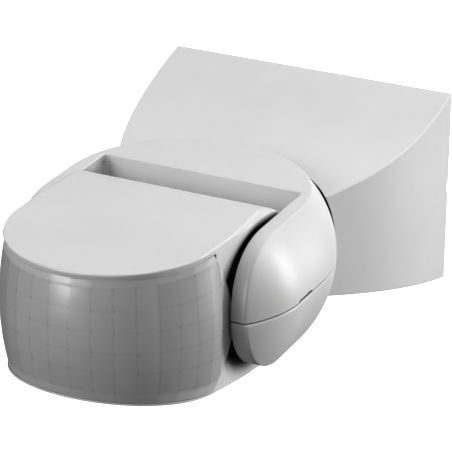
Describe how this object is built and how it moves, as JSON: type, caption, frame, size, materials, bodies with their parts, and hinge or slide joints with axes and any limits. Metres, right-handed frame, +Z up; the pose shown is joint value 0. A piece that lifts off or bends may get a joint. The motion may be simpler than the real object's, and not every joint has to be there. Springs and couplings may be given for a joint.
{
  "type": "motion sensor",
  "caption": "Outdoor wall-mount motion sensor: flared base, panning yoke and a tilting head with a barrel Fresnel lens, with its circuit and wiring inside.",
  "frame": {"origin": "centre of the wall plate's rear face, where the part meets the wall", "axes": "+Y into the wall, -Y out of the wall towards the room or yard, +X to the right as seen from in front, +Z up"},
  "size_m": [0.08, 0.1359, 0.0528],
  "materials": {
    "housing": "fine satin, light grey",
    "lens": "smooth translucent grey polyethylene, ribbed inside",
    "inner_plastic": "natural moulded",
    "black_plastic": "moulded",
    "blue_plastic": "dipped",
    "seal_rubber": "matt",
    "plated_steel": "zinc plated",
    "brass": "plain",
    "circuit_board": "solder-masked laminate",
    "red_lamp": "clear red",
    "sensor_cream": "ceramic"
  },
  "bodies": {
    "base": {"wall_plate": "housing", "base_housing": "housing", "plate_seal": "seal_rubber", "cable_grommet": "seal_rubber", "terminal_block": "inner_plastic", "terminal_screw_1": "brass", "terminal_screw_2": "brass", "terminal_screw_3": "brass", "cover_screw_left": "plated_steel", "cover_screw_right": "plated_steel", "swivel_stub": "black_plastic", "swivel_washer": "plated_steel", "swivel_nut": "black_plastic", "base_lead": "black_plastic"},
    "yoke": {"yoke_upper": "housing", "yoke_lower": "housing", "yoke_screw_left": "plated_steel", "yoke_screw_right": "plated_steel", "yoke_lead": "black_plastic"},
    "head": {"head_shell": "housing", "head_cover": "housing", "lens": "lens", "time_potentiometer": "inner_plastic", "lux_potentiometer": "inner_plastic", "head_lead": "black_plastic", "pivot_left": "black_plastic", "pivot_right": "black_plastic", "relay": "black_plastic", "electrolytic_capacitor": "black_plastic", "pyro_window": "black_plastic", "film_capacitor": "blue_plastic", "pivot_seal_left": "seal_rubber", "pivot_seal_right": "seal_rubber", "head_screw_1": "plated_steel", "head_screw_2": "plated_steel", "head_screw_3": "plated_steel", "head_screw_4": "plated_steel", "dust_ring_left": "seal_rubber", "friction_washer_left": "plated_steel", "dust_ring_right": "seal_rubber", "friction_washer_right": "plated_steel", "pivot_clip_left": "plated_steel", "pivot_clip_right": "plated_steel", "pyro_sensor": "plated_steel", "main_board": "circuit_board", "sensor_board": "circuit_board", "indicator_led": "red_lamp", "light_sensor": "sensor_cream"},
    "time_dial": {"time_knob": "inner_plastic"},
    "lux_dial": {"lux_knob": "inner_plastic"}
  },
  "joints": [
    {"name": "pan", "type": "hinge", "parent": "base", "child": "yoke", "pos_m": [0, -0.0744, 0.0038], "axis": [0, 0, 1], "range_deg": [-20, 20]},
    {"name": "tilt", "type": "hinge", "parent": "yoke", "child": "head", "pos_m": [0, -0.0866, 0.0038], "axis": [1, 0, 0], "range_deg": [-30, 90]},
    {"name": "time_turn", "type": "hinge", "parent": "head", "child": "time_dial", "pos_m": [-0.009, -0.0986, -0.01], "axis": [0, 0, 1], "range_deg": [-135, 135]},
    {"name": "lux_turn", "type": "hinge", "parent": "head", "child": "lux_dial", "pos_m": [0.009, -0.0986, -0.01], "axis": [0, 0, 1], "range_deg": [-135, 135]}
  ]
}
